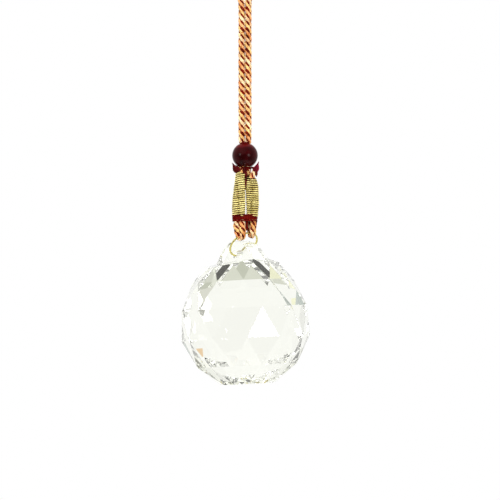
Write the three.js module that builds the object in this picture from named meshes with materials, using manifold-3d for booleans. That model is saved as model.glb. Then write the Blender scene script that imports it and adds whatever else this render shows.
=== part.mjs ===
// A crystal suncatcher: a faceted 40 mm crystal ball on a gold jump ring, hung on a doubled
// red-and-gold cord with a dark red bead, two gold windings and a red binding.
// Millimetres, +Z up, the front towards -Y. The origin is the inside top of the hanging loop,
// where a hook carries it. Heights below are above the ball's centre.

import * as THREE from 'three';
import { ConvexGeometry } from 'three/addons/geometries/ConvexGeometry.js';
import { mergeVertices } from 'three/addons/utils/BufferGeometryUtils.js';
import Module from 'manifold-3d';

const rad = THREE.MathUtils.degToRad;

// ---- driving dimensions ----
const LOOP_INSIDE_TOP = 112.2;       // height of the loop's inside top over the ball's centre

const BALL_RADIUS = 20.38;           // to the facets' corners; 40 mm across the flats
const CORNERS_ROUND = 12;            // corners in each ring of facets
const RING_LATITUDES = [-65, -39, -13, 13, 39];   // degrees; alternate rings are staggered
const FIRST_CORNER = 1;              // degrees from the front towards +X, lowest ring
const CROWN_RINGS = [[11.8, 18.2], [6.6, 23.7], [3.6, 25.4]];   // radius, height
const BALL_SET_BACK = 2.6;           // the ball's centre behind the cord's line
const BALL_TILT = 3;                 // degrees, top towards -X
const BALL_LEAN = 4;                 // degrees, top towards +Y

const LUG_YAW = 34;                  // degrees, the hole's axis from +X towards +Y
const LUG_FOOT_HALF = 2.8;           // half thickness where the lug leaves the crown
const LUG_TOP_HALF = 2.3;            // half thickness at the top
const LUG_FOOT_HEIGHT = 19.3;
const SHOULDER_DROP = 2.0;           // how far each cut shoulder falls towards the outside
const LUG_HOLE_DIAMETER = 2.8;
const LUG_HOLE_HEIGHT = 21.7;

const RING_RADIUS = 4.66;            // of the wire's centreline
const RING_WIRE = 0.6;
const RING_CENTRE = [-0.44, 1.4, 24.5];
const RING_SLOPE = 35.5;             // degrees, its long axis up towards +X
const RING_TURN = 143.4;             // degrees, its face turned up from level
const RING_SPLIT = 210;              // degrees round the ring, at the hidden side of the lug
const RING_SPLIT_GAP = 0.12;

const BEAD_DIAMETER = 7.9;
const BEAD_HEIGHT = 51.85;
const BEAD_BORE = 3.6;
const BEAD_CHAMFER = 0.25;

const CORD_DIAMETER = 1.9;           // free
const BOUND_DIAMETER = 1.6;          // squeezed by the windings and the bore
const STRAND_SPACING = 1.8;          // of the two strands inside a winding
const BORE_SPACING = 1.75;
const FOLD_RADIUS = 1.2;             // of the cord's centreline round the ring's wire
const CORD_SIDES = 8;

const WINDING_GAP = 0.12;            // between the cord and the thread round it
const THREAD_THICK = 0.3;
const THREAD_GROOVE = 0.1;           // depth of the groove between two turns
const GOLD_PITCH = 0.65;
const RED_PITCH = 0.42;
const WINDING_SIDES = 16;

// The free cord's half on the +X side, from the bead up to the loop's top: [x, height].
const LOOP_HALF = [
  [1, 55.7], [1, 60], [1, 66], [1, 72], [1, 78], [1, 84], [1, 90],
  [1, 95], [1.05, 98.5], [1.5, 101.3], [2.45, 103.6], [3.55, 105.7], [4.15, 108],
  [3.85, 110.3], [2.5, 112.3], [0, 113.175],
];

// Each bound leg from its winding's top down to the ring:
// [height, x, y, degrees that the right strand is turned towards the front].
const LEFT_LEG = {
  stations: [
    [46.6, -1.5, 0, 75], [44.5, -1.6, -0.05, 66], [42, -1.72, -0.2, 48], [39, -1.85, -0.45, 22],
    [36, -1.95, -0.7, 8], [33.6, -1.95, -0.95, 10], [32.4, -1.85, -1.15, 24],
    [31.2, -1.75, -1.4, 42], [29.8, -1.6, -1.75, 66],
  ],
  ringAngle: 84,
  boreX: -BORE_SPACING / 2,
  cutEnd: [[-2.35, 0.75, 47.2], [-2.95, 0.7, 47.95]],
  rightStrandRises: true,
};
const RIGHT_LEG = {
  stations: [
    [45.2, 1.62, 0, 50], [43.8, 1.95, -0.02, 26], [42.5, 2.12, -0.05, 6], [40, 2.25, -0.2, 10],
    [37, 2.32, -0.32, 28], [34, 2.25, -0.45, 44], [32.4, 2.15, -0.5, 45],
    [31.2, 2.12, -0.5, 45], [30, 2.1, -0.5, 45],
  ],
  ringAngle: 30,
  boreX: BORE_SPACING / 2,
  cutEnd: [[2.75, -0.4, 46.5], [3.15, -0.25, 47.5]],
  rightStrandRises: false,
};
const GOLD_BOTTOM = 33.6;
const RED_TOP = 33.25;
const RED_BOTTOM = 31.45;

// ---- materials ----
const material = (color, roughness, metalness) =>
  new THREE.MeshStandardMaterial({ color, roughness, metalness });
const CRYSTAL = material(0xf2f5ee, 0.03, 0);
const GOLD_WIRE = material(0xd9c46a, 0.25, 1);
const CORD = material(0xd9a066, 0.7, 0);
const BEAD_STONE = material(0x3a0a0c, 0.08, 0);
const GOLD_THREAD = material(0xb9a558, 0.4, 0.6);
const RED_THREAD = material(0x7a0d0a, 0.8, 0);

// ---- solids cut and joined with manifold-3d ----
const wasm = await Module();
wasm.setup();

function toManifold(geometry) {
  const bare = geometry.clone();
  bare.deleteAttribute('normal');
  bare.deleteAttribute('uv');
  const merged = mergeVertices(bare, 1e-4);
  return new wasm.Manifold(new wasm.Mesh({
    numProp: 3,
    vertProperties: new Float32Array(merged.attributes.position.array),
    triVerts: new Uint32Array(merged.index.array),
  }));
}

function fromManifold(solid) {
  const mesh = solid.getMesh();
  const geometry = new THREE.BufferGeometry();
  geometry.setAttribute('position', new THREE.BufferAttribute(mesh.vertProperties, 3));
  geometry.setIndex(new THREE.BufferAttribute(mesh.triVerts, 1));
  geometry.computeVertexNormals();
  return geometry;
}

// ---- the crystal ball with its crown and lug ----
function cornerRing(radius, height, firstDegrees) {
  const corners = [];
  for (let i = 0; i < CORNERS_ROUND; i += 1) {
    const angle = rad(firstDegrees + (360 / CORNERS_ROUND) * i);
    corners.push(new THREE.Vector3(radius * Math.sin(angle), -radius * Math.cos(angle), height));
  }
  return corners;
}

function crystalBall() {
  const stagger = 180 / CORNERS_ROUND;
  const rings = RING_LATITUDES.map((latitude) => [
    BALL_RADIUS * Math.cos(rad(latitude)),
    BALL_RADIUS * Math.sin(rad(latitude)),
  ]).concat(CROWN_RINGS);
  const corners = rings.flatMap(([radius, height], i) =>
    cornerRing(radius, height, FIRST_CORNER + (i % 2) * stagger));
  let ball = toManifold(new ConvexGeometry(corners));

  // Two cuts leave the lug standing between them; each shoulder falls away to the outside.
  const outside = BALL_RADIUS;
  const above = CROWN_RINGS.at(-1)[1] + 2;
  const cut = new THREE.Shape([
    new THREE.Vector2(LUG_FOOT_HALF, LUG_FOOT_HEIGHT),
    new THREE.Vector2(outside, LUG_FOOT_HEIGHT - SHOULDER_DROP * (outside / CROWN_RINGS[0][0])),
    new THREE.Vector2(outside, above),
    new THREE.Vector2(LUG_TOP_HALF, above),
  ]);
  for (const side of [0, 180]) {
    const cutter = new THREE.ExtrudeGeometry(cut, { depth: 2 * outside, bevelEnabled: false });
    cutter.translate(0, 0, -outside);
    cutter.rotateX(Math.PI / 2);
    cutter.rotateZ(rad(LUG_YAW + side));
    ball = ball.subtract(toManifold(cutter));
  }

  const hole = new THREE.CylinderGeometry(
    LUG_HOLE_DIAMETER / 2, LUG_HOLE_DIAMETER / 2, 2 * outside, 20);
  hole.rotateZ(Math.PI / 2);
  hole.rotateZ(rad(LUG_YAW));
  hole.translate(0, 0, LUG_HOLE_HEIGHT);
  ball = ball.subtract(toManifold(hole));

  const mesh = new THREE.Mesh(fromManifold(ball), CRYSTAL);
  mesh.name = 'crystal_ball';
  mesh.position.set(0, BALL_SET_BACK, 0);
  mesh.rotation.set(-rad(BALL_LEAN), -rad(BALL_TILT), 0);
  return mesh;
}

// ---- the jump ring ----
const ringPose = new THREE.Matrix4()
  .makeRotationFromEuler(new THREE.Euler(rad(RING_TURN), -rad(RING_SLOPE), 0, 'YXZ'))
  .setPosition(...RING_CENTRE);

function ringPoint(degrees) {
  const angle = rad(degrees);
  return new THREE.Vector3(RING_RADIUS * Math.cos(angle), RING_RADIUS * Math.sin(angle), 0)
    .applyMatrix4(ringPose);
}

class RingArc extends THREE.Curve {
  getPoint(t, target = new THREE.Vector3()) {
    const half = RING_SPLIT_GAP / (2 * RING_RADIUS);
    const angle = rad(RING_SPLIT) + half + t * (2 * Math.PI - 2 * half);
    return target.set(RING_RADIUS * Math.cos(angle), RING_RADIUS * Math.sin(angle), 0);
  }
}

function roundSection(diameter, sides) {
  const shape = new THREE.Shape();
  for (let i = 0; i < sides; i += 1) {
    const angle = (2 * Math.PI * i) / sides;
    const x = (diameter / 2) * Math.cos(angle);
    const y = (diameter / 2) * Math.sin(angle);
    if (i === 0) shape.moveTo(x, y);
    else shape.lineTo(x, y);
  }
  shape.closePath();
  return shape;
}

function tube(path, diameter, sides, steps) {
  return new THREE.ExtrudeGeometry(roundSection(diameter, sides), { steps, extrudePath: path });
}

function jumpRing() {
  const mesh = new THREE.Mesh(tube(new RingArc(), RING_WIRE, 8, 40), GOLD_WIRE);
  mesh.name = 'jump_ring';
  mesh.position.set(...RING_CENTRE);
  mesh.rotation.set(rad(RING_TURN), -rad(RING_SLOPE), 0, 'YXZ');
  return mesh;
}

// ---- the bead ----
function bead() {
  const radius = BEAD_DIAMETER / 2;
  const bore = BEAD_BORE / 2;
  const rim = Math.acos((bore + BEAD_CHAMFER) / radius);
  const steps = 16;
  const profile = [new THREE.Vector2(bore, -radius * Math.sin(rim) + BEAD_CHAMFER)];
  for (let i = 0; i <= steps; i += 1) {
    const latitude = -rim + (2 * rim * i) / steps;
    profile.push(new THREE.Vector2(radius * Math.cos(latitude), radius * Math.sin(latitude)));
  }
  profile.push(new THREE.Vector2(bore, radius * Math.sin(rim) - BEAD_CHAMFER));
  profile.push(profile[0].clone());
  const geometry = new THREE.LatheGeometry(profile, 32);
  geometry.rotateX(Math.PI / 2);
  const mesh = new THREE.Mesh(geometry, BEAD_STONE);
  mesh.name = 'bead';
  mesh.position.set(0, 0, BEAD_HEIGHT);
  return mesh;
}

// ---- the cord ----
function hangingCord() {
  const right = LOOP_HALF.map(([x, z]) => new THREE.Vector3(x, 0, z));
  const left = LOOP_HALF.slice(0, -1).map(([x, z]) => new THREE.Vector3(-x, 0, z));
  const path = new THREE.CatmullRomCurve3([...left, ...right.reverse()]);
  const mesh = new THREE.Mesh(tube(path, CORD_DIAMETER, CORD_SIDES, 60), CORD);
  mesh.name = 'hanging_cord';
  return mesh;
}

// The centre and the turn of a leg's two strands at a height, between its stations.
function legAt(leg, height) {
  const { stations } = leg;
  let i = 0;
  while (i < stations.length - 2 && stations[i + 1][0] > height) i += 1;
  const [high, low] = [stations[i], stations[i + 1]];
  const t = (high[0] - height) / (high[0] - low[0]);
  return high.map((value, k) => THREE.MathUtils.lerp(value, low[k], t));
}

function strandAt(leg, height, side) {
  const [, x, y, turn] = legAt(leg, height);
  const offset = (side * STRAND_SPACING) / 2;
  return new THREE.Vector3(
    x + offset * Math.cos(rad(turn)), y - offset * Math.sin(rad(turn)), height);
}

// The cord's turn under the ring's wire, from the back strand to the front one.
function foldPoints(degrees) {
  const wire = ringPoint(degrees);
  const along = ringPoint(degrees + 1).sub(ringPoint(degrees - 1)).normalize();
  const up = new THREE.Vector3(0, 0, 1);
  up.addScaledVector(along, -up.dot(along)).normalize();
  const back = along.clone().cross(up);
  if (back.y < 0) back.negate();
  const points = [];
  for (const turn of [-20, 15, 50, 90, 130, 165, 200]) {
    points.push(wire.clone()
      .addScaledVector(back, FOLD_RADIUS * Math.cos(rad(turn)))
      .addScaledVector(up, -FOLD_RADIUS * Math.sin(rad(turn))));
  }
  return points;
}

function boundCord(name, leg) {
  const heights = leg.stations.map(([height]) => height);
  const leftStrand = heights.map((height) => strandAt(leg, height, -1));
  const rightStrand = heights.map((height) => strandAt(leg, height, 1));
  const rise = [
    new THREE.Vector3(leg.boreX, 0, 48.6),
    new THREE.Vector3(leg.boreX, 0, 52),
    new THREE.Vector3(leg.boreX, 0, 55.1),
  ];
  const cut = leg.cutEnd.map((point) => new THREE.Vector3(...point));
  const [leftTop, rightTop] = leg.rightStrandRises ? [cut, rise] : [rise, cut];
  const path = new THREE.CatmullRomCurve3([
    ...leftTop.reverse(), ...leftStrand, ...foldPoints(leg.ringAngle), ...rightStrand.reverse(),
    ...rightTop,
  ]);
  const mesh = new THREE.Mesh(tube(path, BOUND_DIAMETER, CORD_SIDES, 72), CORD);
  mesh.name = name;
  return mesh;
}

// ---- the windings ----
// The outline that a taut thread takes round strands at these centres.
function tautOutline(centres, radius) {
  const outline = [];
  for (let i = 0; i < WINDING_SIDES; i += 1) {
    const angle = (2 * Math.PI * i) / WINDING_SIDES;
    const way = new THREE.Vector2(Math.cos(angle), Math.sin(angle));
    const furthest = centres.reduce((best, c) => (c.dot(way) > best.dot(way) ? c : best));
    outline.push(furthest.clone().addScaledVector(way, radius));
  }
  return outline;
}

// A sleeve of turns round the strands that centresAt gives, from top to bottom.
function windingGeometry(centresAt, top, bottom, pitch) {
  const inner = BOUND_DIAMETER / 2 + WINDING_GAP;
  const outer = inner + THREAD_THICK;
  const turns = Math.round((top - bottom) / pitch);
  const rows = [];
  for (let i = 0; i <= 2 * turns; i += 1) {
    const height = THREE.MathUtils.lerp(bottom, top, i / (2 * turns));
    const radius = outer - (i % 2 === 0 ? THREAD_GROOVE : 0);
    rows.push(tautOutline(centresAt(height), radius).map((p) => [p.x, p.y, height]));
  }
  for (let i = turns; i >= 0; i -= 1) {
    const height = THREE.MathUtils.lerp(bottom, top, i / turns);
    rows.push(tautOutline(centresAt(height), inner).map((p) => [p.x, p.y, height]));
  }
  const index = [];
  for (let r = 0; r < rows.length; r += 1) {
    const next = (r + 1) % rows.length;
    for (let k = 0; k < WINDING_SIDES; k += 1) {
      const kn = (k + 1) % WINDING_SIDES;
      const [a, b] = [r * WINDING_SIDES + k, r * WINDING_SIDES + kn];
      const [c, d] = [next * WINDING_SIDES + kn, next * WINDING_SIDES + k];
      index.push(a, b, c, a, c, d);
    }
  }
  const geometry = new THREE.BufferGeometry();
  geometry.setAttribute('position', new THREE.Float32BufferAttribute(rows.flat(2), 3));
  geometry.setIndex(index);
  geometry.computeVertexNormals();
  return geometry;
}

const flat = (point) => new THREE.Vector2(point.x, point.y);
const legCentres = (leg, height) => [-1, 1].map((side) => flat(strandAt(leg, height, side)));

function goldWinding(name, leg) {
  const geometry = windingGeometry(
    (height) => legCentres(leg, height), leg.stations[0][0], GOLD_BOTTOM, GOLD_PITCH);
  const mesh = new THREE.Mesh(geometry, GOLD_THREAD);
  mesh.name = name;
  return mesh;
}

function redBinding() {
  const geometry = windingGeometry(
    (height) => [...legCentres(LEFT_LEG, height), ...legCentres(RIGHT_LEG, height)],
    RED_TOP, RED_BOTTOM, RED_PITCH);
  const mesh = new THREE.Mesh(geometry, RED_THREAD);
  mesh.name = 'red_binding';
  return mesh;
}

// ---- the whole suncatcher ----
const hung = new THREE.Group();
hung.position.set(0, 0, -LOOP_INSIDE_TOP);
hung.add(
  crystalBall(),
  jumpRing(),
  boundCord('bound_cord_left', LEFT_LEG),
  boundCord('bound_cord_right', RIGHT_LEG),
  redBinding(),
  goldWinding('gold_winding_left', LEFT_LEG),
  goldWinding('gold_winding_right', RIGHT_LEG),
  bead(),
  hangingCord(),
);

const suncatcher = new THREE.Group();
suncatcher.add(hung);

export default suncatcher;
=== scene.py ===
"""The looks of a crystal suncatcher: a faceted crystal ball on a gold jump ring, hung on a
doubled red-and-gold cord with a dark red bead, gold windings and a red binding.

It is laid out as an add-on and run as a script. Lengths are in metres, +Z up, the front
towards -Y, and the origin is the inside top of the hanging loop.
"""

import math
import random

import bmesh
import bpy
from bpy.props import FloatProperty, FloatVectorProperty, PointerProperty
from mathutils import Matrix, Vector


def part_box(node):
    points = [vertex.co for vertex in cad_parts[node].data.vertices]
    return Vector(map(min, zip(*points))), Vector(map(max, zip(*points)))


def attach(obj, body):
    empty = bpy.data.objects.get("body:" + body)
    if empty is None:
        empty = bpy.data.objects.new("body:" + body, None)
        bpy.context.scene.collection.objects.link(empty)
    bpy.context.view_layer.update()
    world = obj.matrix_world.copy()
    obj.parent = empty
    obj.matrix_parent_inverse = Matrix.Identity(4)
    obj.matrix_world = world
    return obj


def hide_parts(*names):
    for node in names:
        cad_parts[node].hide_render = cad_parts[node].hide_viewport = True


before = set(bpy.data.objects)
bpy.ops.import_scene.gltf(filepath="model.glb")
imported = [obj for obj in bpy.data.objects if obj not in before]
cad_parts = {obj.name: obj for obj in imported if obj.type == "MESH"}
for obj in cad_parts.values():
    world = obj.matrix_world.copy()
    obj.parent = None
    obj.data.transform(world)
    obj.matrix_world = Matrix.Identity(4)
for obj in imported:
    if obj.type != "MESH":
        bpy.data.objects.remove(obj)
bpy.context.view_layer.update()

bl_info = {
    "name": "Crystal Suncatcher",
    "version": (1, 0, 0),
    "blender": (4, 5, 0),
    "location": "View3D > Sidebar > Suncatcher",
    "description": "Builds a crystal suncatcher piece by piece",
    "category": "Add Mesh",
}

TURN = 2 * math.pi
BODY = "root"


# ---------------------------------------------------------------------------
# Sizes shared with the frame
# ---------------------------------------------------------------------------

def middle(node):
    low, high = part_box(node)
    return (low + high) / 2


BEAD_CENTRE = middle("bead")
BEAD_LEVEL = 0.05185     # the bead's height over the ball's centre
BALL_LEVEL = BEAD_CENTRE.z - BEAD_LEVEL

STRAND_SPACING = 0.0018
FOLD_RADIUS = 0.0009
RING_RADIUS = 0.00466
RING_CENTRE = Vector((-0.00044, 0.0014, 0.0245))
RING_SLOPE = math.radians(35.5)
RING_TURN = math.radians(143.4)
RING_SPLIT = math.radians(210)

# Heights from here on are over the ball's centre.
# The free cord's half on the +X side, from the bead up to the loop's top: (x, height).
LOOP_HALF = [
    (0.001, 0.0557), (0.001, 0.060), (0.001, 0.066), (0.001, 0.072),
    (0.001, 0.078), (0.001, 0.084), (0.001, 0.090), (0.001, 0.095),
    (0.00105, 0.0985), (0.0015, 0.1013), (0.00245, 0.1036), (0.00355, 0.1057),
    (0.00415, 0.108), (0.00385, 0.1103), (0.0025, 0.1123), (0.0, 0.113175),
]

# Each bound leg down to the ring: (height, x, y, degrees the right strand is turned forward).
LEFT_LEG = {
    "stations": [
        (0.0466, -0.0015, 0.0, 75), (0.0445, -0.0016, -0.00005, 66),
        (0.042, -0.00172, -0.0002, 48), (0.039, -0.00185, -0.00045, 22),
        (0.036, -0.00195, -0.0007, 8), (0.0336, -0.00195, -0.00095, 10),
        (0.0324, -0.00188, -0.00115, 12), (0.0312, -0.0018, -0.0014, 14),
        (0.0298, -0.00168, -0.00165, 18),
    ],
    "ring_angle": 80,
    "fold_turn": 28,
    "slant": 0.07,
    "bore_x": -0.000875,
    "cut_end": [(-0.00235, 0.00075, 0.0472), (-0.00295, 0.0007, 0.0482)],
    "right_rises": True,
}
RIGHT_LEG = {
    "stations": [
        (0.0452, 0.00162, 0.0, 50), (0.0438, 0.00195, -0.00002, 26),
        (0.0425, 0.00212, -0.00005, 6), (0.040, 0.00225, -0.0002, 10),
        (0.037, 0.00232, -0.00032, 28), (0.034, 0.00225, -0.00045, 44),
        (0.0324, 0.00215, -0.0005, 52), (0.0312, 0.00212, -0.0005, 58),
        (0.030, 0.0021, -0.0005, 62),
    ],
    "ring_angle": 30,
    "fold_turn": 64,
    "slant": -0.14,
    "bore_x": 0.000875,
    "cut_end": [(0.00275, -0.0004, 0.0465), (0.00315, -0.00025, 0.0477)],
    "right_rises": False,
}
BOTH_LEGS = (LEFT_LEG, RIGHT_LEG)
BORE_HEIGHTS = (0.0486, 0.052, 0.0556)     # where a leg passes on its way up the bead's bore
NECK = {"stations": [(0.0486, 0.0, 0.0, 0), (0.047, 0.0, 0.0, 0)]}     # under the bead
FOLD_BENDS = (-20, 15, 50, 90, 130, 165, 200)     # round the ring's wire, in degrees
BINDING_TAIL = [
    (0.0031, -0.0012, 0.0328), (0.0035, -0.0013, 0.0318), (0.0034, -0.0014, 0.0306),
    (0.0031, -0.0013, 0.0294),
]
TUFTS = (
    # name, root, tip, width, colour
    ("left_tuft", (-0.0021, -0.0011, 0.0466), (-0.0040, -0.0012, 0.0497), 0.0020, "tuft_dark"),
    ("left_tuft_low", (-0.0017, -0.0012, 0.0478), (-0.0038, -0.0010, 0.0472), 0.0014,
     "tuft_dark"),
    ("right_tuft", (0.0030, -0.0009, 0.0466), (0.0043, -0.0010, 0.0500), 0.0017,
     "tuft_crimson"),
)
LOOSE_YARNS = (
    # name, colour, radius, points
    ("band_yarn", "band_red", 0.0005, [
        (0.0004, -0.0009, 0.0322), (0.0005, -0.0012, 0.0312), (0.0005, -0.0011, 0.0300),
        (0.0006, -0.0006, 0.0287)]),
    ("mouth_yarn", "band_red", 0.00046, [
        (-0.0013, -0.0012, 0.0550), (-0.0007, -0.0015, 0.0555), (0.0001, -0.0015, 0.0556),
        (0.0008, -0.0014, 0.0554), (0.0012, -0.0012, 0.0549)]),
    ("throat_yarn", "tuft_dark", 0.00042, [
        (-0.0001, -0.0009, 0.0484), (-0.0003, -0.0010, 0.0474), (-0.0002, -0.0009, 0.0462),
        (0.0001, -0.0007, 0.0450)]),
    ("centre_yarn", "tuft_dark", 0.00042, [
        (0.0002, -0.0007, 0.0482), (0.00035, -0.001, 0.0467), (0.0002, -0.0007, 0.0446),
        (0.00012, -0.0006, 0.0428), (0.0001, -0.0004, 0.0412)]),
    ("left_yarn", "tuft_dark", 0.00045, [
        (-0.0008, -0.0011, 0.0479), (-0.0018, -0.0014, 0.0473), (-0.0028, -0.0013, 0.0474),
        (-0.0034, -0.0011, 0.0482)]),
    ("right_yarn", "tuft_dark", 0.00036, [
        (0.0012, -0.0012, 0.0481), (0.0024, -0.0013, 0.0480), (0.0033, -0.0012, 0.0477),
        (0.0036, -0.0011, 0.0466), (0.0035, -0.0010, 0.0452)]),
)
RED_SUNK = 0.7           # a red yarn's offset where it dips, as a share of the full one
RED_PROUD = 1.08         # and at its front and back
RED_THIN = 0.5           # its thickness where it dips
RED_SIDE = 0.75          # how far it comes out again at the strand's sides
RED_LEAN = 16            # how far its front stroke lies towards the other strand, in degrees
CORD_PHASE = -0.35       # where the free cord's first ply starts, in radians
LEG_PHASES = (0.4, 1.9)
YARN_STEP = 0.00016      # spacing of the points along a yarn or a thread
THREAD_LAY = 0.0009      # length of one turn of a thread's own twist
LOOSE_LAY = 0.0014       # and of a loose yarn's

# The windings: a thread's route is this far from the strands' middles.
WINDING_RADIUS = 0.00098
WINDING_DIP = 0.0006     # how far it sinks between the two strands
WINDING_LOW = 0.0003     # how far it starts below the gold's lower edge
WINDING_SHORT = 0.0002   # how far it stops below the leg's first station
SHADE_THREAD_RADIUS = 0.00086   # a dark thread between the gold turns, which paints the shade in their gaps
SHADE_THREAD_STEP = 0.0003
SHADE_THREAD_THICKNESS = 0.00022
GOLD_BOTTOM = 0.0336
RED_TOP = 0.03355
RED_BOTTOM = 0.0314
RED_START = 0.0315
RED_STEPS = 160          # points in a turn
NECK_TOP = 0.0485
NECK_BOTTOM = 0.0474
NECK_RADIUS = 0.00084
NECK_STEPS = 120

TUFT_FIBRES = 90
TUFT_CURL = 0.00006
FIBRE_RADIUS = 0.00009
REFLECTION_RISE = 0.0022        # how far over the bead's middle its redder cap begins, where a reflection of the cord is painted
REFLECTION_EDGE = 700.0         # how sharply, per metre


# The studio. Azimuths are from the front towards +X, in degrees, as seen from the crystal.
FLOOR_LEVEL = -0.45
FLOOR_RADIUS = 0.40
FOCAL_LENGTH = 100
WIDTH_SEEN = 0.15385     # how much the camera takes in, side to side
CAMERA_AIM = (0.00154, -0.08943)     # x and z
ROOM_SHADE = 0.20        # the surround's brightness in its darkest part, which is in front
SHADE_ELEVATION = -5
SHADE_EDGES = (38, 85)   # where that part ends and where white begins, in degrees from its middle
LAMP_AIM = Vector((0, 0, -0.07))
CARD_DISTANCE = 0.30
NEARER = 0.98            # each card stands this much nearer than the one before it
CARDS = (
    # name, azimuth, elevation, width, height, colour
    ("back_card", 180, -48, 64, 30, "dddfd4"),
    ("middle_card", 180, -40, 50, 3, "c6c9bb"),
    ("dark_card_left", 158, -45, 9, 9, "3c3c36"),
    ("dark_card_right", -160, -50, 20, 18, "3c3c36"),
    ("yellow_card", -139, -36, 18, 26, "fcfcdc"),
    ("peach_card", 147.6, 13.7, 3.2, 1.6, "f2d2ac"),
    ("right_card", -128, -20, 18, 16, "c4cecb"),
    ("left_card", 152, -20, 16, 14, "dcdcd4"),
    ("left_triangle", 138, -4, 8, 6, "a0a098"),
    ("front_card", -30, 45, 60, 40, "f6f6f0"),
)
LAMPS = (
    # name, azimuth, elevation, distance, width, power, seen in reflections
    ("right_lamp", 32, 0, 0.60, 0.17, 1.1, True),
    ("left_lamp", -45, 7, 0.60, 0.13, 0.6, True),
    ("left_fill", -35, 30, 0.70, 0.50, 2.9, False),
    ("right_fill", 50, 10, 0.70, 0.40, 1.9, False),
    ("top_light", 180, 80, 0.60, 0.60, 1.5, False),
)


def lerp(a, b, t):
    return a + (b - a) * t


def facing(azimuth, elevation):
    """The direction at an azimuth and an elevation in degrees."""
    turn = math.radians(azimuth)
    lift = math.radians(elevation)
    return Vector((
        math.sin(turn) * math.cos(lift), -math.cos(turn) * math.cos(lift), math.sin(lift)))


def raised(point):
    """A point given over the ball's centre, moved to its place in the frame."""
    x, y, z = point
    return Vector((x, y, z + BALL_LEVEL))


def resampled(points, step):
    """The points that a smooth curve through these points passes at about this step."""
    dense = []
    last = len(points) - 1
    for i in range(last):
        before = points[max(i - 1, 0)]
        after = points[min(i + 2, last)]
        a, b = points[i], points[i + 1]
        count = max(2, math.ceil((b - a).length / (step * 0.5)))
        for k in range(count):
            t = k / count
            dense.append(0.5 * (
                2 * a + (b - before) * t
                + (2 * before - 5 * a + 4 * b - after) * t * t
                + (3 * a - before - 3 * b + after) * t * t * t
            ))
    dense.append(points[-1])
    lengths = [0.0]
    for a, b in zip(dense, dense[1:]):
        lengths.append(lengths[-1] + (b - a).length)
    count = max(2, round(lengths[-1] / step))
    even = []
    k = 0
    for i in range(count + 1):
        at = lengths[-1] * i / count
        while k < len(dense) - 2 and lengths[k + 1] < at:
            k += 1
        span = lengths[k + 1] - lengths[k]
        even.append(dense[k].lerp(dense[k + 1], (at - lengths[k]) / span if span else 0))
    return even


def path_length(points):
    return sum((b - a).length for a, b in zip(points, points[1:]))


def frames_along(points):
    """A side and an up direction at each point, carried along without twisting."""
    found = []
    side = None
    for i, _ in enumerate(points):
        ahead = points[min(i + 1, len(points) - 1)] - points[max(i - 1, 0)]
        ahead.normalize()
        if side is None:
            side = ahead.orthogonal().normalized()
        side = (side - ahead * side.dot(ahead)).normalized()
        found.append((side.copy(), ahead.cross(side)))
    return found


# ---------------------------------------------------------------------------
# Mesh helpers
# ---------------------------------------------------------------------------

def placed(name, mesh, stands_for=()):
    """Makes a finished piece of a mesh, with its body and the nodes it replaces."""
    piece = bpy.data.objects.new(name, mesh)
    bpy.context.scene.collection.objects.link(piece)
    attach(piece, BODY)
    if stands_for:
        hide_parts(*stands_for)
    return piece


def lobed_profile(radius, lobes, depth, points_per_lobe=3):
    """A closed flat curve: a round section with lobes, for a yarn or a laid thread."""
    curve = bpy.data.curves.new("yarn_section", "CURVE")
    curve.dimensions = "2D"
    count = lobes * points_per_lobe
    spline = curve.splines.new("POLY")
    spline.points.add(count - 1)
    spline.use_cyclic_u = True
    for i, point in enumerate(spline.points):
        angle = TURN * i / count
        r = radius * (1 - depth * (0.5 - 0.5 * math.cos(lobes * angle)))
        point.co = (r * math.cos(angle), r * math.sin(angle), 0, 1)
    section = bpy.data.objects.new("yarn_section", curve)
    bpy.context.scene.collection.objects.link(section)
    return section


def tubes_mesh(name, runs, radius, materials, section=None, resolution=3):
    """A mesh of tubes. Each run is (points, radius factors, tilts, material index)."""
    curve = bpy.data.curves.new(name, "CURVE")
    for material in materials:
        curve.materials.append(material)
    curve.dimensions = "3D"
    curve.twist_mode = "MINIMUM"
    curve.use_fill_caps = True
    if section is None:
        curve.bevel_depth = radius
        curve.bevel_resolution = resolution
    else:
        curve.bevel_mode = "OBJECT"
        curve.bevel_object = section
    for points, factors, tilts, material_index in runs:
        spline = curve.splines.new("POLY")
        spline.points.add(len(points) - 1)
        spline.material_index = material_index
        spline.use_smooth = True
        spline.points.foreach_set("co", [c for p in points for c in (*p, 1.0)])
        spline.points.foreach_set("radius", factors)
        spline.points.foreach_set("tilt", tilts)
    holder = bpy.data.objects.new(name, curve)
    bpy.context.scene.collection.objects.link(holder)
    bpy.context.view_layer.update()
    graph = bpy.context.evaluated_depsgraph_get()
    mesh = bpy.data.meshes.new_from_object(holder.evaluated_get(graph), depsgraph=graph)
    bpy.data.objects.remove(holder)
    bpy.data.curves.remove(curve)
    if section is not None:
        flat = section.data
        bpy.data.objects.remove(section)
        bpy.data.curves.remove(flat)
    bm = bmesh.new()
    bm.from_mesh(mesh)
    bmesh.ops.remove_doubles(bm, verts=bm.verts, dist=1e-7)
    bmesh.ops.recalc_face_normals(bm, faces=bm.faces)
    for face in bm.faces:
        face.smooth = True
    bm.to_mesh(mesh)
    bm.free()
    mesh.name = name
    return mesh


def even_run(points, material_index=0, tilt_rate=0.0, taper=0.0):
    """A run of even thickness; tilt_rate turns the section along it, taper thins its ends."""
    count = len(points)
    step = path_length(points) / max(count - 1, 1)
    factors = []
    for i in range(count):
        end = min(i, count - 1 - i) / max(count - 1, 1)
        factors.append(1.0 if taper == 0 else min(1.0, 0.25 + end / taper))
    tilts = [i * step * tilt_rate for i in range(count)]
    return points, factors, tilts, material_index


# ---------------------------------------------------------------------------
# Shader helpers
# ---------------------------------------------------------------------------

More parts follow.
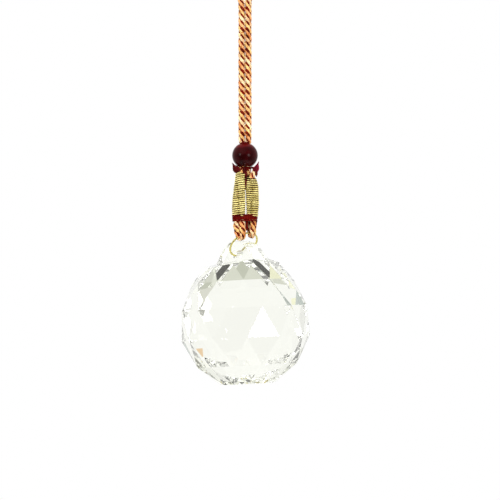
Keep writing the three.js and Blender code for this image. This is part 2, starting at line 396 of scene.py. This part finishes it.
def srgb(code):
    """A colour from its hex code, as linear RGBA."""
    channels = [int(code[i:i + 2], 16) / 255 for i in (0, 2, 4)]
    linear = [c / 12.92 if c <= 0.04045 else ((c + 0.055) / 1.055) ** 2.4 for c in channels]
    return (*linear, 1.0)


def grey(level):
    return (level, level, level, 1.0)


def set_stops(ramp, stops):
    """Gives a new colour ramp, which has two stops, these stops instead."""
    while len(ramp.elements) < len(stops):
        ramp.elements.new(1.0)
    for element, (position, colour) in zip(ramp.elements, stops):
        element.position = position
        element.color = colour


class Wire:
    """A value in a material's tree. Sums and products of wires add Math nodes."""

    def __init__(self, finish, socket):
        self.finish = finish
        self.socket = socket

    def _math(self, operation, *values):
        return self.finish.node("ShaderNodeMath", {"operation": operation}, dict(enumerate(values)))

    def __add__(self, other):
        return self._math("ADD", self, other)

    def __sub__(self, other):
        return self._math("SUBTRACT", self, other)

    def __mul__(self, other):
        return self._math("MULTIPLY", self, other)

    def __rmul__(self, other):
        return self._math("MULTIPLY", other, self)


class Finish:
    """A material whose Principled shader and other nodes are set by name."""

    def __init__(self, name, **values):
        self.material = bpy.data.materials.new(name)
        self.material.use_nodes = True
        self.tree = self.material.node_tree
        self.shader = self.tree.nodes["Principled BSDF"]
        self.set(**values)

    def set(self, **values):
        for key, value in values.items():
            socket = self.shader.inputs[key.replace("_", " ")]
            self._feed(socket, value)
        return self

    def _feed(self, socket, value):
        if isinstance(value, Wire):
            self.tree.links.new(value.socket, socket)
        else:
            socket.default_value = value

    def node(self, kind, settings=None, inputs=None, output=0):
        made = self.tree.nodes.new(kind)
        for key, value in (settings or {}).items():
            if key == "stops":
                set_stops(made.color_ramp, value)
            else:
                setattr(made, key, value)
        for key, value in (inputs or {}).items():
            self._feed(made.inputs[key], value)
        return Wire(self, made.outputs[output])

    def coordinates(self, output):
        return self.node("ShaderNodeTexCoord", output=output)

    def split(self, vector):
        """The X, Y and Z wires of a vector."""
        parts = self.tree.nodes.new("ShaderNodeSeparateXYZ")
        self._feed(parts.inputs[0], vector)
        return [Wire(self, socket) for socket in parts.outputs]

    def noise(self, vector, scale, detail=2.0, roughness=0.5):
        return self.node(
            "ShaderNodeTexNoise", None,
            {"Vector": vector, "Scale": scale, "Detail": detail, "Roughness": roughness})

    def ramp(self, value, stops):
        return self.node("ShaderNodeValToRGB", {"stops": stops}, {"Fac": value})

    def mix(self, factor, a, b):
        return self.node(
            "ShaderNodeMix", {"data_type": "RGBA"}, {0: factor, 6: a, 7: b}, output=2)

    def bump(self, height, strength, distance):
        normal = self.node(
            "ShaderNodeBump", None,
            {"Strength": strength, "Distance": distance, "Height": height})
        return self.set(Normal=normal)


def yarn_finish(name, light, dark, metallic=0.0, roughness=0.6, gloss=0.1):
    """Spun yarn: fine fibres that run slantwise round it, with a slow change of shade."""
    finish = Finish(
        name, Roughness=roughness, Metallic=metallic, IOR=1.45, Specular_IOR_Level=gloss)
    grain = finish.noise(finish.coordinates(3), 2600.0, 3.0)
    slow = finish.noise(finish.coordinates(3), 420.0, 2.0)
    shade = 0.5 * grain + 0.5 * slow
    finish.set(Base_Color=finish.ramp(shade, [(0.36, tuple(dark)), (0.56, tuple(light))]))
    return finish.bump(grain, 0.45, 0.00006).material


# ---------------------------------------------------------------------------
# Routes of the cord
# ---------------------------------------------------------------------------

def leg_at(leg, height):
    """The x, y and turn of a leg's two strands at a height."""
    stations = leg["stations"]
    i = 0
    while i < len(stations) - 2 and stations[i + 1][0] > height:
        i += 1
    high, low = stations[i], stations[i + 1]
    t = (high[0] - height) / (high[0] - low[0])
    return [lerp(a, b, t) for a, b in zip(high[1:], low[1:])]


def strand_at(leg, height, side):
    x, y, turn = leg_at(leg, height)
    offset = side * STRAND_SPACING / 2
    turn = math.radians(turn)
    return Vector((x + offset * math.cos(turn), y - offset * math.sin(turn), height))


def ring_point(angle):
    """A point of the ring's centreline, over the ball's centre."""
    pose = Matrix.Rotation(-RING_SLOPE, 3, "Y") @ Matrix.Rotation(RING_TURN, 3, "X")
    return RING_CENTRE + pose @ Vector((math.cos(angle), math.sin(angle), 0)) * RING_RADIUS


def fold_points(leg):
    """The cord's turn under the ring's wire, from the left strand to the right one."""
    wire = ring_point(math.radians(leg["ring_angle"]))
    turn = math.radians(leg["fold_turn"])
    left = Vector((-math.cos(turn), math.sin(turn), 0))
    up = Vector((0, 0, 1))
    points = []
    for bend in FOLD_BENDS:
        bend = math.radians(bend)
        points.append(wire + (left * math.cos(bend) - up * math.sin(bend)) * FOLD_RADIUS)
    return points


def leg_route(leg):
    """A bound leg's centreline, from one strand's top down round the ring and up the other."""
    heights = [station[0] for station in leg["stations"]]
    left = [strand_at(leg, height, -1) for height in heights]
    right = [strand_at(leg, height, 1) for height in heights]
    rise = [Vector((leg["bore_x"], 0, height)) for height in BORE_HEIGHTS]
    cut = [Vector(point) for point in leg["cut_end"]]
    left_top, right_top = (cut, rise) if leg["right_rises"] else (rise, cut)
    points = left_top[::-1] + left + fold_points(leg) + right[::-1] + right_top
    return [raised(point) for point in points]


def loop_route():
    """The free cord's centreline, from the bead's left side up round the loop and back."""
    right = [Vector((x, 0, height)) for x, height in LOOP_HALF]
    left = [Vector((-x, 0, height)) for x, height in LOOP_HALF[:-1]]
    return [raised(point) for point in left + right[::-1]]


# ---------------------------------------------------------------------------
# The rope
# ---------------------------------------------------------------------------

def helix(route, sides, offset, phase, lay, squeeze):
    """A yarn's route round a rope's centreline, turning left-handed once in each lay."""
    found = []
    travelled = 0.0
    for i, (point, (side, up)) in enumerate(zip(route, sides)):
        if i:
            travelled += (point - route[i - 1]).length
        angle = phase - TURN * travelled / lay
        found.append(point + (side * math.cos(angle) + up * math.sin(angle)) * offset * squeeze[i])
    return found


def surfacing(point, centre):
    """How far a red yarn stands out here: most at the strand's front and back, less at its
    sides, and least between them."""
    out = point - centre
    lean = math.radians(math.copysign(RED_LEAN, centre.x))
    ahead = (out.y * math.cos(lean) + out.x * math.sin(lean)) / out.length
    share = 2 * ahead * ahead - 1
    return min(1.0, 1.5 * share) if share > 0 else -RED_SIDE * share


def rope_mesh(name, points, squeeze_at, sizes, materials, phase=0.0):
    """A laid rope: three plies of spun thread with red yarns in the grooves between them."""
    route = resampled(points, sizes.rope_step)
    sides = frames_along(route)
    squeeze = [squeeze_at(point) for point in route]
    twist = -TURN / sizes.ply_twist
    plies = []
    reds = []
    for k in range(3):
        at = phase + TURN * k / 3
        ply = helix(route, sides, sizes.ply_offset, at, sizes.rope_lay, squeeze)
        step = path_length(ply) / (len(ply) - 1)
        tilts = [-i * step * twist for i in range(len(ply))]
        plies.append((ply, squeeze, tilts, k))
        red = helix(route, sides, sizes.red_offset, at + TURN / 6, sizes.rope_lay, squeeze)
        shown = [surfacing(point, centre) for point, centre in zip(red, route)]
        red = [
            centre.lerp(point, RED_SUNK + (RED_PROUD - RED_SUNK) * out)
            for point, centre, out in zip(red, route, shown)
        ]
        stout = sizes.stout_red if k == 0 else 1.0
        factors = [s * stout * (RED_THIN + (1 - RED_THIN) * out) for s, out in zip(squeeze, shown)]
        reds.append((red, factors, [0.0] * len(red), 3))
    section = lobed_profile(sizes.ply_radius, 5, 0.16)
    laid = tubes_mesh(name, plies, 1.0, materials, section)
    laid_red = tubes_mesh(name + "_red", reds, sizes.red_radius, materials, resolution=1)
    joined = bmesh.new()
    joined.from_mesh(laid)
    joined.from_mesh(laid_red)
    joined.to_mesh(laid)
    joined.free()
    bpy.data.meshes.remove(laid_red)
    return laid, route


# ---------------------------------------------------------------------------
# Windings
# ---------------------------------------------------------------------------

def lobed_outline(radius, half, dip, t):
    """A point of the line that a thread takes round two strands, once round for t in 0 to 1."""
    arc = math.pi * radius
    run = (t % 1.0) * (2 * arc + 4 * half)
    side = 1
    if run >= arc + 2 * half:
        run -= arc + 2 * half
        side = -1
    if run < arc:
        angle = run / radius - math.pi / 2
        x = half + radius * math.cos(angle)
        y = radius * math.sin(angle)
    else:
        u = (run - arc) / (2 * half)
        x = half - 2 * half * u
        y = radius - dip * math.sin(math.pi * u) ** 2
    return side * x, side * y


def winding_points(leg, bottom, top, pitch, radius, dip, rng, step):
    """A thread wound upwards round a leg's two strands, a little uneven, as by hand."""
    turns = (top - bottom) / pitch
    per_turn = round((TURN * radius + 2 * STRAND_SPACING) / step)
    count = round(turns * per_turn)
    wobble = [rng.uniform(-0.09, 0.09) * pitch for _ in range(round(turns) + 3)]
    swell = [rng.uniform(-0.04, 0.06) * radius for _ in range(round(turns) + 3)]
    points = []
    for i in range(count + 1):
        t = i / per_turn
        k = int(t)
        height = bottom + pitch * t + lerp(wobble[k], wobble[k + 1], t - k)
        x, y, turn = leg_at(leg, height)
        turn = math.radians(turn)
        out = radius + lerp(swell[k], swell[k + 1], t - k)
        a, b = lobed_outline(out, STRAND_SPACING / 2, dip, t)
        across = a * math.cos(turn) + b * math.sin(turn)
        points.append(raised((
            x + across,
            y - a * math.sin(turn) + b * math.cos(turn),
            height + leg["slant"] * across,
        )))
    return points


def taut_point(centres, angle, radius):
    way = Vector((math.cos(angle), math.sin(angle)))
    furthest = max(centres, key=lambda centre: centre.dot(way))
    return furthest + way * radius


def binding_points(legs, bottom, top, pitch, radius, rng, steps):
    """A thread wound upwards round both strands of each of these legs."""
    turns = (top - bottom) / pitch
    wobble = [rng.uniform(-0.2, 0.2) * pitch for _ in range(round(turns) + 3)]
    points = []
    for i in range(round(turns * steps) + 1):
        t = i / steps
        k = int(t)
        height = bottom + pitch * t + lerp(wobble[k], wobble[k + 1], t - k)
        centres = [
            strand_at(leg, height, side).to_2d()
            for leg in legs for side in (-1, 1)
        ]
        point = taut_point(centres, TURN * t, radius)
        points.append(raised((point.x, point.y, height)))
    return points


def tuft_runs(root, tip, width, count, curl, rng, material_index=0):
    """Frayed fibres that leave a root together, spread into a leaf and close at the tip."""
    axis = tip - root
    across = axis.cross(Vector((0, 1, 0))).normalized()
    deep = axis.cross(across).normalized()
    runs = []
    for _ in range(count):
        a = rng.uniform(-1, 1)
        b = rng.uniform(-1, 1)
        reach = rng.uniform(0.7, 1.05) * (1 - 0.25 * abs(a))
        points = []
        for i in range(9):
            t = i / 8
            spread = math.sin(math.pi * min(1.0, 0.18 + 0.78 * t)) * width / 2
            wave = curl * math.sin(TURN * (t + a)) * t
            points.append(
                root + axis * t * reach
                + across * (spread * a + wave)
                + deep * (spread * 0.6 * b)
            )
        runs.append(even_run(resampled(points, axis.length / 12), material_index, taper=0.5))
    return runs


# ---------------------------------------------------------------------------
# What a user can change
# ---------------------------------------------------------------------------

def length_property(name, description, default):
    return FloatProperty(
        name=name, description=description, default=default, min=0.0,
        precision=5, unit="LENGTH")


def colour_property(name, description, code):
    return FloatVectorProperty(
        name=name, description=description, default=srgb(code), size=4,
        subtype="COLOR", min=0.0, max=1.0)


class SuncatcherSizes(bpy.types.PropertyGroup):
    """Sizes of the parts that are modelled here."""

    rope_lay: length_property("Rope lay", "Length of one turn of the rope", 0.00639)
    rope_step: length_property("Rope step", "Spacing of the rope's rings of points", 0.00016)
    ply_offset: length_property("Ply offset", "From the rope's middle to a ply's", 0.00053)
    ply_radius: length_property("Ply radius", "Radius of one ply", 0.00056)
    ply_twist: length_property("Ply twist", "Length of one turn of a ply's threads", 0.0024)
    red_offset: length_property("Red offset", "From the rope's middle to a red yarn's", 0.00059)
    red_radius: length_property("Red radius", "Radius of a red yarn", 0.00042)
    stout_red: FloatProperty(
        name="Stout red", description="How much thicker one red yarn is", default=1.25)
    facet_bevel: length_property("Facet bevel", "Width of the polished facet edges", 0.00006)
    bead_bore: length_property("Bead bore", "Diameter of the hole through the bead", 0.0036)
    bead_chamfer: length_property("Bead chamfer", "Width of the bevel at the bore", 0.00025)
    ring_wire: length_property("Ring wire", "Diameter of the jump ring's wire", 0.0006)
    ring_gap: length_property("Ring gap", "Width of the jump ring's split", 0.00012)
    gold_pitch: length_property("Gold pitch", "From one gold turn to the next", 0.00065)
    gold_thread: length_property("Gold thread", "Diameter of the gold thread", 0.0005)
    red_pitch: length_property("Red pitch", "From one binding turn to the next", 0.00042)
    red_thread: length_property("Red thread", "Diameter of the binding thread", 0.00046)


class SuncatcherColours(bpy.types.PropertyGroup):
    """Colours of the threads, the bead, the wire and the crystal."""

    ply_gold: colour_property("Gold ply", "Lit colour of the first ply", "f8d084")
    ply_peach: colour_property("Peach ply", "Lit colour of the second ply", "f6b87c")
    ply_cream: colour_property("Cream ply", "Lit colour of the third ply", "fde6b4")
    ply_shade: colour_property("Ply shade", "Colour between the plies' fibres", "c06a2c")
    yarn_red: colour_property("Red yarn", "Lit colour of the red yarns", "7a1400")
    yarn_dark: colour_property("Red yarn shade", "Colour between the red fibres", "2a0300")
    thread_gold: colour_property("Gold thread", "Lit colour of the gold thread", "fff09c")
    thread_brown: colour_property("Gold thread shade", "Its colour in the grooves", "b4a04c")
    # A dark colour for the thread between the gold turns: painted shade in their gaps.
    under_thread: colour_property("Under thread", "Seen between the gold turns", "3c1c06")
    band_red: colour_property("Binding red", "Lit colour of the binding", "660602")
    tuft_dark: colour_property("Dark tuft", "Colour of the left tuft", "5e0e10")
    tuft_crimson: colour_property("Crimson tuft", "Colour of the right tuft", "8e1434")
    bead_light: colour_property("Bead", "The bead's lighter red", "3a0508")
    bead_dark: colour_property("Bead shade", "The bead's darker red", "1e0001")
    # The bead's cap colour is a painted reflection of the cord over the bead, round the bore.
    bead_cord_reflection: colour_property("Bead cap", "The thin red stone round the bore", "540409")
    wire: colour_property("Gold wire", "The jump ring's metal", "d8cc84")
    crystal: colour_property("Crystal", "The crystal's tint", "fdfef6")


def sizes_of(context):
    return context.scene.suncatcher_sizes


def colours_of(context):
    return context.scene.suncatcher_colours


def ply_finishes(colours):
    """The three plies' finishes and the red yarn's, in the order of the rope's slots."""
    return [
        yarn_finish("gold_ply", colours.ply_gold, colours.ply_shade, gloss=0.3),
        yarn_finish("peach_ply", colours.ply_peach, colours.ply_shade),
        yarn_finish("cream_ply", colours.ply_cream, colours.ply_shade),
        yarn_finish("red_yarn", colours.yarn_red, colours.yarn_dark, roughness=0.7),
    ]


# ---------------------------------------------------------------------------
# Operators
# ---------------------------------------------------------------------------

class SUNCATCHER_OT_studio(bpy.types.Operator):
    """Set the camera, the floor, the world and the lights"""

    bl_idname = "suncatcher.studio"
    bl_label = "Studio"

    def execute(self, context):
        scene = context.scene
        scene.view_settings.view_transform = "Standard"
        self.light_paths(scene)
        self.camera(scene)
        self.floor()
        self.world(scene)
        self.cards()
        self.lights(scene)
        return {"FINISHED"}

    def light_paths(self, scene):
        """Light is turned back many times inside cut crystal before it leaves."""
        scene.cycles.max_bounces = 32
        scene.cycles.glossy_bounces = 24
        scene.cycles.transmission_bounces = 24

    def camera(self, scene):
        lens = bpy.data.cameras.new("camera")
        lens.lens = FOCAL_LENGTH
        camera = bpy.data.objects.new("camera", lens)
        back = WIDTH_SEEN * lens.lens / lens.sensor_width
        camera.location = (CAMERA_AIM[0], -back, CAMERA_AIM[1])
        camera.rotation_euler = (math.radians(90), 0, 0)
        scene.collection.objects.link(camera)
        scene.camera = camera

    def floor(self):
        bm = bmesh.new()
        bmesh.ops.create_circle(bm, cap_ends=True, segments=96, radius=FLOOR_RADIUS)
        bmesh.ops.translate(bm, verts=bm.verts, vec=(0, 0, FLOOR_LEVEL))
        mesh = bpy.data.meshes.new("floor")
        bm.to_mesh(mesh)
        bm.free()
        floor = bpy.data.objects.new("floor", mesh)
        finish = Finish("pale_floor", Roughness=0.9)
        mottle = finish.noise(finish.coordinates(3), 30.0)
        finish.set(Base_Color=finish.ramp(
            mottle, [(0.3, srgb("eeefec")), (0.7, srgb("f6f7f4"))]))
        mesh.materials.append(finish.material)
        bpy.context.scene.collection.objects.link(floor)

    def world(self, scene):
        """A white surround with a soft dark patch in front."""
        world = bpy.data.worlds.new("studio")
        world.use_nodes = True
        tree = world.node_tree
        sky = tree.nodes["Background"]
        ways = tree.nodes.new("ShaderNodeTexCoord")
        ahead = tree.nodes.new("ShaderNodeVectorMath")
        ahead.operation = "DOT_PRODUCT"
        ahead.inputs[1].default_value = facing(0, SHADE_ELEVATION)
        inner, outer = [math.cos(math.radians(edge)) for edge in SHADE_EDGES]
        ramp = tree.nodes.new("ShaderNodeValToRGB")
        set_stops(ramp.color_ramp, [(outer, grey(1.0)), (inner, grey(ROOM_SHADE))])
        tree.links.new(ways.outputs["Generated"], ahead.inputs[0])
        tree.links.new(ahead.outputs["Value"], ramp.inputs["Fac"])
        tree.links.new(ramp.outputs["Color"], sky.inputs["Color"])
        scene.world = world

    def cards(self):
        """Tinted and dark cards round the crystal, which its facets show and the camera doesn't."""
        ball = middle("crystal_ball")
        reach = CARD_DISTANCE
        for name, azimuth, elevation, width, height, code in CARDS:
            reach *= NEARER
            bm = bmesh.new()
            bmesh.ops.create_grid(bm, x_segments=1, y_segments=1, size=0.5)
            bmesh.ops.scale(bm, verts=bm.verts, vec=(
                2 * reach * math.tan(math.radians(width / 2)),
                2 * reach * math.tan(math.radians(height / 2)), 1))
            way = facing(azimuth, elevation)
            turn = way.to_track_quat("Z", "Y").to_matrix().to_4x4()
            bmesh.ops.transform(
                bm, verts=bm.verts, matrix=Matrix.Translation(ball + way * reach) @ turn)
            mesh = bpy.data.meshes.new(name)
            bm.to_mesh(mesh)
            bm.free()
            finish = Finish(
                name, Base_Color=(0, 0, 0, 1), Roughness=1.0, Specular_IOR_Level=0.0,
                Emission_Color=srgb(code), Emission_Strength=1.0)
            mesh.materials.append(finish.material)
            card = bpy.data.objects.new(name, mesh)
            bpy.context.scene.collection.objects.link(card)
            card.visible_camera = False
            card.visible_diffuse = False
            card.visible_shadow = False

    def lights(self, scene):
        for name, azimuth, elevation, reach, width, power, mirrored in LAMPS:
            lamp = bpy.data.lights.new(name, "AREA")
            lamp.size = width
            lamp.energy = power
            light = bpy.data.objects.new(name, lamp)
            way = facing(azimuth, elevation)
            light.location = LAMP_AIM + way * reach
            light.rotation_euler = way.to_track_quat("Z", "Y").to_euler()
            light.visible_glossy = mirrored
            light.visible_transmission = mirrored
            scene.collection.objects.link(light)


class SUNCATCHER_OT_hanging_cord(bpy.types.Operator):
    """Lay the free cord from the bead up to the loop and back"""

    bl_idname = "suncatcher.hanging_cord"
    bl_label = "Hanging cord"

    def execute(self, context):
        bead_top = BALL_LEVEL + LOOP_HALF[0][1]

        def squeeze_at(point):
            near = max(0.0, 1 - (point.z - bead_top) / 0.004)
            return 1.0 - 0.12 * near * near

        mesh, route = rope_mesh(
            "free_cord", loop_route(), squeeze_at, sizes_of(context),
            ply_finishes(colours_of(context)), phase=CORD_PHASE)
        cord = placed("free_cord", mesh, ["hanging_cord"])
        path_length(route)
        return {"FINISHED"}


class SUNCATCHER_OT_bound_cords(bpy.types.Operator):
    """Lay the two bound legs of the cord down through the bead and round the ring"""

    bl_idname = "suncatcher.bound_cords"
    bl_label = "Bound cords"

    def execute(self, context):
        freed = BALL_LEVEL + RED_BOTTOM
        finishes = ply_finishes(colours_of(context))
        fold_level = BALL_LEVEL + ring_point(math.radians(LEFT_LEG["ring_angle"])).z

        def squeeze_at(point):
            below = min(1.0, max(0.0, (freed - point.z) / 0.001))
            pinched = min(1.0, max(0.0, (fold_level + 0.0012 - point.z) / 0.0016))
            return 0.82 + 0.17 * below - 0.22 * pinched

        for side, leg, phase in zip(("left", "right"), BOTH_LEGS, LEG_PHASES):
            mesh, _ = rope_mesh(
                side + "_leg", leg_route(leg), squeeze_at, sizes_of(context), finishes, phase)
            placed(side + "_leg", mesh, ["bound_cord_" + side])
        return {"FINISHED"}


class SUNCATCHER_OT_crystal(bpy.types.Operator):
    """Polish the crystal ball's facets and give it its glass"""

    bl_idname = "suncatcher.crystal"
    bl_label = "Crystal"

    def execute(self, context):
        source = bpy.data.objects["crystal_ball"]
        bm = bmesh.new()
        bm.from_mesh(source.data)
        bmesh.ops.remove_doubles(bm, verts=bm.verts, dist=2e-6)
        bmesh.ops.dissolve_limit(
            bm, angle_limit=math.radians(0.4), verts=bm.verts, edges=bm.edges)
        sharp = [edge for edge in bm.edges if edge.calc_face_angle(0) > math.radians(9)]
        bmesh.ops.bevel(
            bm, geom=sharp, offset=sizes_of(context).facet_bevel, offset_type="OFFSET",
            segments=1, profile=0.5, affect="EDGES", material=-1)
        bmesh.ops.recalc_face_normals(bm, faces=bm.faces)
        mesh = bpy.data.meshes.new("faceted_crystal")
        bm.to_mesh(mesh)
        bm.free()
        finish = Finish(
            "cut_crystal", Base_Color=colours_of(context).crystal, Roughness=0.0, IOR=1.52,
            Transmission_Weight=1.0)
        ripple = finish.noise(finish.coordinates(3), 60.0, 1.0)
        finish.bump(ripple, 0.02, 0.0005)
        mesh.materials.append(finish.material)
        placed("faceted_crystal", mesh, ["crystal_ball"])
        return {"FINISHED"}


class SUNCATCHER_OT_ring(bpy.types.Operator):
    """Bend the round wire of the jump ring"""

    bl_idname = "suncatcher.ring"
    bl_label = "Jump ring"

    def execute(self, context):
        sizes = sizes_of(context)
        half = sizes.ring_gap / (2 * RING_RADIUS)
        steps = 120
        route = []
        for i in range(steps + 1):
            angle = RING_SPLIT + half + (TURN - 2 * half) * i / steps
            route.append(raised(ring_point(angle)))
        finish = Finish("gold_wire", Metallic=1.0, Roughness=0.22)
        wear = finish.noise(finish.coordinates(3), 900.0, 3.0)
        colour = colours_of(context).wire
        worn = (colour[0] * 0.8, colour[1] * 0.78, colour[2] * 0.6, 1.0)
        finish.set(Base_Color=finish.ramp(wear, [(0.35, worn), (0.6, tuple(colour))]))
        finish.bump(wear, 0.08, 0.00005)
        mesh = tubes_mesh(
            "gold_ring", [even_run(route)], sizes.ring_wire / 2, [finish.material],
            resolution=6)
        placed("gold_ring", mesh, ["jump_ring"])
        return {"FINISHED"}


class SUNCATCHER_OT_bead(bpy.types.Operator):
    """Turn the dark red bead with its bore"""

    bl_idname = "suncatcher.bead"
    bl_label = "Bead"

    def execute(self, context):
        sizes = sizes_of(context)
        low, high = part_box("bead")
        radius = (high.x - low.x) / 2
        bore = sizes.bead_bore / 2
        chamfer = sizes.bead_chamfer
        rim = math.acos((bore + chamfer) / radius)
        steps = 28
        outline = [Vector((bore, 0, -radius * math.sin(rim) + chamfer))]
        for i in range(steps + 1):
            latitude = -rim + 2 * rim * i / steps
            outline.append(Vector((radius * math.cos(latitude), 0, radius * math.sin(latitude))))
        outline.append(Vector((bore, 0, radius * math.sin(rim) - chamfer)))
        bm = bmesh.new()
        verts = [bm.verts.new(point) for point in outline]
        edges = [bm.edges.new(pair) for pair in zip(verts, verts[1:] + verts[:1])]
        bmesh.ops.spin(
            bm, geom=verts + edges, cent=(0, 0, 0), axis=(0, 0, 1), angle=TURN, steps=96,
            use_merge=True)
        bmesh.ops.remove_doubles(bm, verts=bm.verts, dist=1e-7)
        bmesh.ops.recalc_face_normals(bm, faces=bm.faces)
        for face in bm.faces:
            face.smooth = True
        for edge in bm.edges:
            edge.smooth = edge.calc_face_angle(0) < math.radians(30)
        bmesh.ops.translate(bm, verts=bm.verts, vec=BEAD_CENTRE)
        mesh = bpy.data.meshes.new("red_bead")
        bm.to_mesh(mesh)
        bm.free()
        colours = colours_of(context)
        finish = Finish("bead_stone", Roughness=0.2, IOR=1.48, Specular_IOR_Level=0.08)
        cloud = finish.noise(finish.coordinates(3), 350.0, 4.0)
        stone = finish.ramp(
            cloud, [(0.35, tuple(colours.bead_dark)), (0.65, tuple(colours.bead_light))])
        # Over the bead's middle the red turns into a painted reflection of the cord above, round
        # the bore.
        height = finish.split(finish.coordinates(3))[2]
        above = (height - (BEAD_CENTRE.z + REFLECTION_RISE)) * REFLECTION_EDGE + cloud
        reflection_mask = finish.ramp(above, [(0.45, grey(0.0)), (0.95, grey(1.0))])
        finish.set(Base_Color=finish.mix(reflection_mask, stone, tuple(colours.bead_cord_reflection)))
        finish.bump(cloud, 0.03, 0.00005)
        mesh.materials.append(finish.material)
        placed("red_bead", mesh, ["bead"])
        return {"FINISHED"}


class SUNCATCHER_OT_windings(bpy.types.Operator):
    """Wind the gold thread round each leg"""

    bl_idname = "suncatcher.windings"
    bl_label = "Gold windings"

    def execute(self, context):
        sizes = sizes_of(context)
        colours = colours_of(context)
        gold = yarn_finish(
            "gold_thread", colours.thread_gold, colours.thread_brown, metallic=0.15,
            roughness=0.3, gloss=0.9)
        # A dark thread laid between the gold turns paints the shade in their gaps.
        under = yarn_finish("under_thread", colours.under_thread, colours.yarn_dark)
        rng = random.Random(7)
        for side, leg in zip(("left", "right"), BOTH_LEGS):
            name = side + "_winding"
            top = leg["stations"][0][0] - WINDING_SHORT
            bottom = GOLD_BOTTOM - WINDING_LOW
            points = winding_points(
                leg, bottom, top, sizes.gold_pitch, WINDING_RADIUS, WINDING_DIP, rng, YARN_STEP)
            section = lobed_profile(sizes.gold_thread / 2, 3, 0.16, 4)
            run = even_run(points, tilt_rate=TURN / THREAD_LAY)
            mesh = tubes_mesh(name, [run], 1.0, [gold], section)
            placed(name, mesh, ["gold_winding_" + side])
            # The dark thread half a turn up, between the gold turns, is painted shade.
            points = winding_points(
                leg, bottom + sizes.gold_pitch / 2, top, sizes.gold_pitch, SHADE_THREAD_RADIUS,
                WINDING_DIP, rng, SHADE_THREAD_STEP)
            mesh = tubes_mesh(name + "_under", [even_run(points)], SHADE_THREAD_THICKNESS, [under])
            placed(name + "_under", mesh)
        return {"FINISHED"}


class SUNCATCHER_OT_binding(bpy.types.Operator):
    """Wind the red thread round both legs"""

    bl_idname = "suncatcher.binding"
    bl_label = "Red binding"

    def execute(self, context):
        sizes = sizes_of(context)
        colours = colours_of(context)
        rng = random.Random(11)
        points = binding_points(
            BOTH_LEGS, RED_START, RED_TOP, sizes.red_pitch, WINDING_RADIUS, rng, RED_STEPS)
        points = resampled(points, YARN_STEP)
        runs = [even_run(points, tilt_rate=TURN / THREAD_LAY)]
        tail = [raised(point) for point in BINDING_TAIL]
        runs.append(even_run(resampled(tail, YARN_STEP), tilt_rate=TURN / THREAD_LAY, taper=0.1))
        section = lobed_profile(sizes.red_thread / 2, 3, 0.2, 3)
        finish = yarn_finish(
            "binding_thread", colours.band_red, colours.yarn_dark, roughness=0.75)
        mesh = tubes_mesh("red_band", runs, 1.0, [finish], section)
        placed("red_band", mesh, ["red_binding"])
        points = binding_points(
            [NECK], NECK_BOTTOM, NECK_TOP, sizes.red_pitch, NECK_RADIUS, rng, NECK_STEPS)
        points = resampled(points, YARN_STEP)
        section = lobed_profile(sizes.red_thread / 2, 3, 0.2, 3)
        neck = tubes_mesh(
            "neck_band", [even_run(points, tilt_rate=TURN / THREAD_LAY)], 1.0, [finish], section)
        placed("neck_band", neck)
        return {"FINISHED"}


class SUNCATCHER_OT_tufts(bpy.types.Operator):
    """Fray the cut ends of the cord under the bead"""

    bl_idname = "suncatcher.tufts"
    bl_label = "Tufts"

    def execute(self, context):
        colours = colours_of(context)
        rng = random.Random(23)
        for name, root, tip, width, colour in TUFTS:
            colour = getattr(colours, colour)
            runs = tuft_runs(raised(root), raised(tip), width, TUFT_FIBRES, TUFT_CURL, rng)
            finish = yarn_finish(name + "_fibre", colour, colours.yarn_dark, roughness=0.6)
            mesh = tubes_mesh(name, runs, FIBRE_RADIUS, [finish], resolution=1)
            placed(name, mesh)
        for name, colour, radius, points in LOOSE_YARNS:
            route = resampled([raised(point) for point in points], YARN_STEP)
            finish = yarn_finish(name + "_fibre", getattr(colours, colour), colours.yarn_dark)
            section = lobed_profile(radius, 4, 0.22)
            run = even_run(route, tilt_rate=TURN / LOOSE_LAY, taper=0.2)
            placed(name, tubes_mesh(name, [run], 1.0, [finish], section))
        return {"FINISHED"}


class SUNCATCHER_PT_panel(bpy.types.Panel):
    """The suncatcher's steps, sizes and colours"""

    bl_label = "Suncatcher"
    bl_space_type = "VIEW_3D"
    bl_region_type = "UI"
    bl_category = "Suncatcher"

    def draw(self, context):
        for operator in STEPS:
            self.layout.operator(operator.bl_idname)
        for group in (sizes_of(context), colours_of(context)):
            for name in group.__annotations__:
                self.layout.prop(group, name)


STEPS = (
    SUNCATCHER_OT_studio,
    SUNCATCHER_OT_hanging_cord,
    SUNCATCHER_OT_bound_cords,
    SUNCATCHER_OT_crystal,
    SUNCATCHER_OT_ring,
    SUNCATCHER_OT_bead,
    SUNCATCHER_OT_windings,
    SUNCATCHER_OT_binding,
    SUNCATCHER_OT_tufts,
)
CLASSES = (SuncatcherSizes, SuncatcherColours, *STEPS, SUNCATCHER_PT_panel)


def register():
    for each in CLASSES:
        bpy.utils.register_class(each)
    bpy.types.Scene.suncatcher_sizes = PointerProperty(type=SuncatcherSizes)
    bpy.types.Scene.suncatcher_colours = PointerProperty(type=SuncatcherColours)


def unregister():
    del bpy.types.Scene.suncatcher_colours
    del bpy.types.Scene.suncatcher_sizes
    for each in reversed(CLASSES):
        bpy.utils.unregister_class(each)


def main():
    register()
    bpy.ops.suncatcher.studio()
    bpy.ops.suncatcher.hanging_cord()
    bpy.ops.suncatcher.bound_cords()
    bpy.ops.suncatcher.crystal()
    bpy.ops.suncatcher.ring()
    bpy.ops.suncatcher.bead()
    bpy.ops.suncatcher.windings()
    bpy.ops.suncatcher.binding()
    bpy.ops.suncatcher.tufts()


if __name__ == "__main__":
    main()
